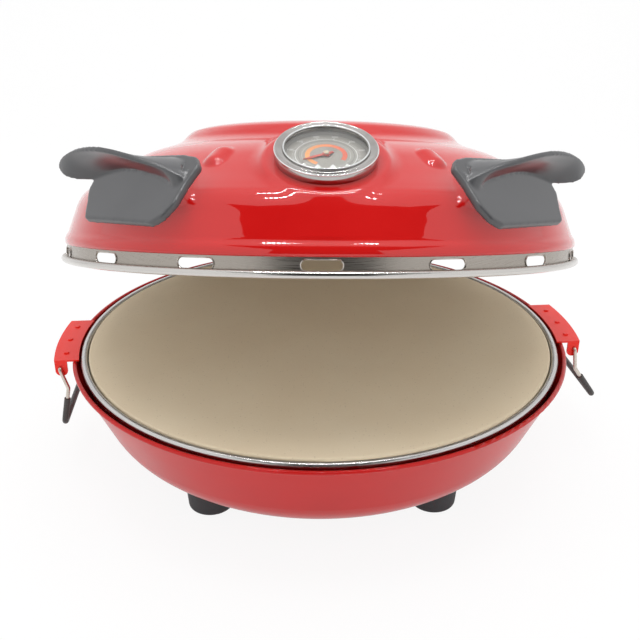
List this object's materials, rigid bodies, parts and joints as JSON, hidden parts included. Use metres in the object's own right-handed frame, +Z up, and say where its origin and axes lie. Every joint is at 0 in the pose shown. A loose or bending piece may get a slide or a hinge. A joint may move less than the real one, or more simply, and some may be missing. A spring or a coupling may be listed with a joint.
{
  "type": "countertop pizza oven",
  "caption": "Round electric pizza maker: baking stone in a shallow bowl, hinged domed lid with two handles and a dial thermometer, wire bails at the sides.",
  "frame": {"origin": "centre of the baking stone's top face; the stone is round and concentric with the bowl", "axes": "+Z up, out of the stone; the front, where the dial and handles are, faces -Y; the hinge is at +Y; stored with the lid open by about 17 degrees and the right bail swung out"},
  "size_m": [0.3682, 0.3487, 0.2354],
  "materials": {
    "red_paint": "gloss",
    "stone": "matte",
    "steel": "satin",
    "chrome": "polished",
    "black_plastic": "satin",
    "rubber": "matte",
    "ceramic": "matte",
    "glass": "polished",
    "dial_print": "satin",
    "needle": "matte",
    "element": "matte",
    "wire_insulation": "matte",
    "bail_wire": "polished",
    "sleeve": "matte"
  },
  "bodies": {
    "base": {"baking_stone": "stone", "steel_pan": "steel", "bowl": "red_paint", "lower_heater": "element", "lower_clips": "steel", "heat_shield": "steel", "pan_posts": "steel", "pan_screws": "steel", "pan_nuts": "steel", "terminal_block": "ceramic", "thermostat": "steel", "thermal_fuse": "steel", "inner_leads": "wire_insulation", "cord_gland": "black_plastic", "gland_nut": "black_plastic", "foot_front_left": "rubber", "foot_front_right": "rubber", "foot_back_left": "rubber", "foot_back_right": "rubber", "foot_screws": "steel", "foot_nuts": "steel", "left_bracket": "red_paint", "right_bracket": "red_paint", "left_bracket_rivets": "red_paint", "right_bracket_rivets": "red_paint", "base_hinge": "steel", "base_hinge_rivets": "steel", "hinge_pin": "steel"},
    "lid": {"lid_shell": "red_paint", "lid_skirt": "steel", "lid_liner": "steel", "upper_heater": "element", "upper_clips": "steel", "upper_block": "ceramic", "lid_hinge": "steel", "lid_hinge_rivets": "steel", "left_handle": "black_plastic", "right_handle": "black_plastic", "left_handle_screws": "steel", "right_handle_screws": "steel", "dial_case": "steel", "dial_bezel": "chrome", "dial_glass": "glass", "dial_face": "dial_print", "dial_stem": "steel", "dial_nut": "steel"},
    "needle": {"dial_needle": "needle", "dial_hub": "chrome"},
    "left_bail": {"left_bail_wire": "bail_wire", "left_bail_sleeve": "sleeve"},
    "right_bail": {"right_bail_wire": "bail_wire", "right_bail_sleeve": "sleeve"}
  },
  "joints": [
    {"name": "lid_hinge", "type": "hinge", "parent": "base", "child": "lid", "pos_m": [0.00698, 0.17386, 0.004], "axis": [-0.9992, 0.0401, 0], "range_deg": [-16.95, 75]},
    {"name": "needle_turn", "type": "hinge", "parent": "lid", "child": "needle", "pos_m": [0.00125, -0.099, 0.15109], "axis": [-0.0107, 0.2843, -0.9587], "range_deg": [-5, 250], "stiffness_Nm_per_rad": 0.0005},
    {"name": "left_bail_swing", "type": "hinge", "parent": "base", "child": "left_bail", "pos_m": [-0.17022, -0.01131, -0.0055], "axis": [-0.0663, 0.9978, 0], "range_deg": [-31, 160]},
    {"name": "right_bail_swing", "type": "hinge", "parent": "base", "child": "right_bail", "pos_m": [0.17022, 0.01131, -0.0055], "axis": [0.0663, -0.9978, 0], "range_deg": [-54.5, 136.5]}
  ]
}
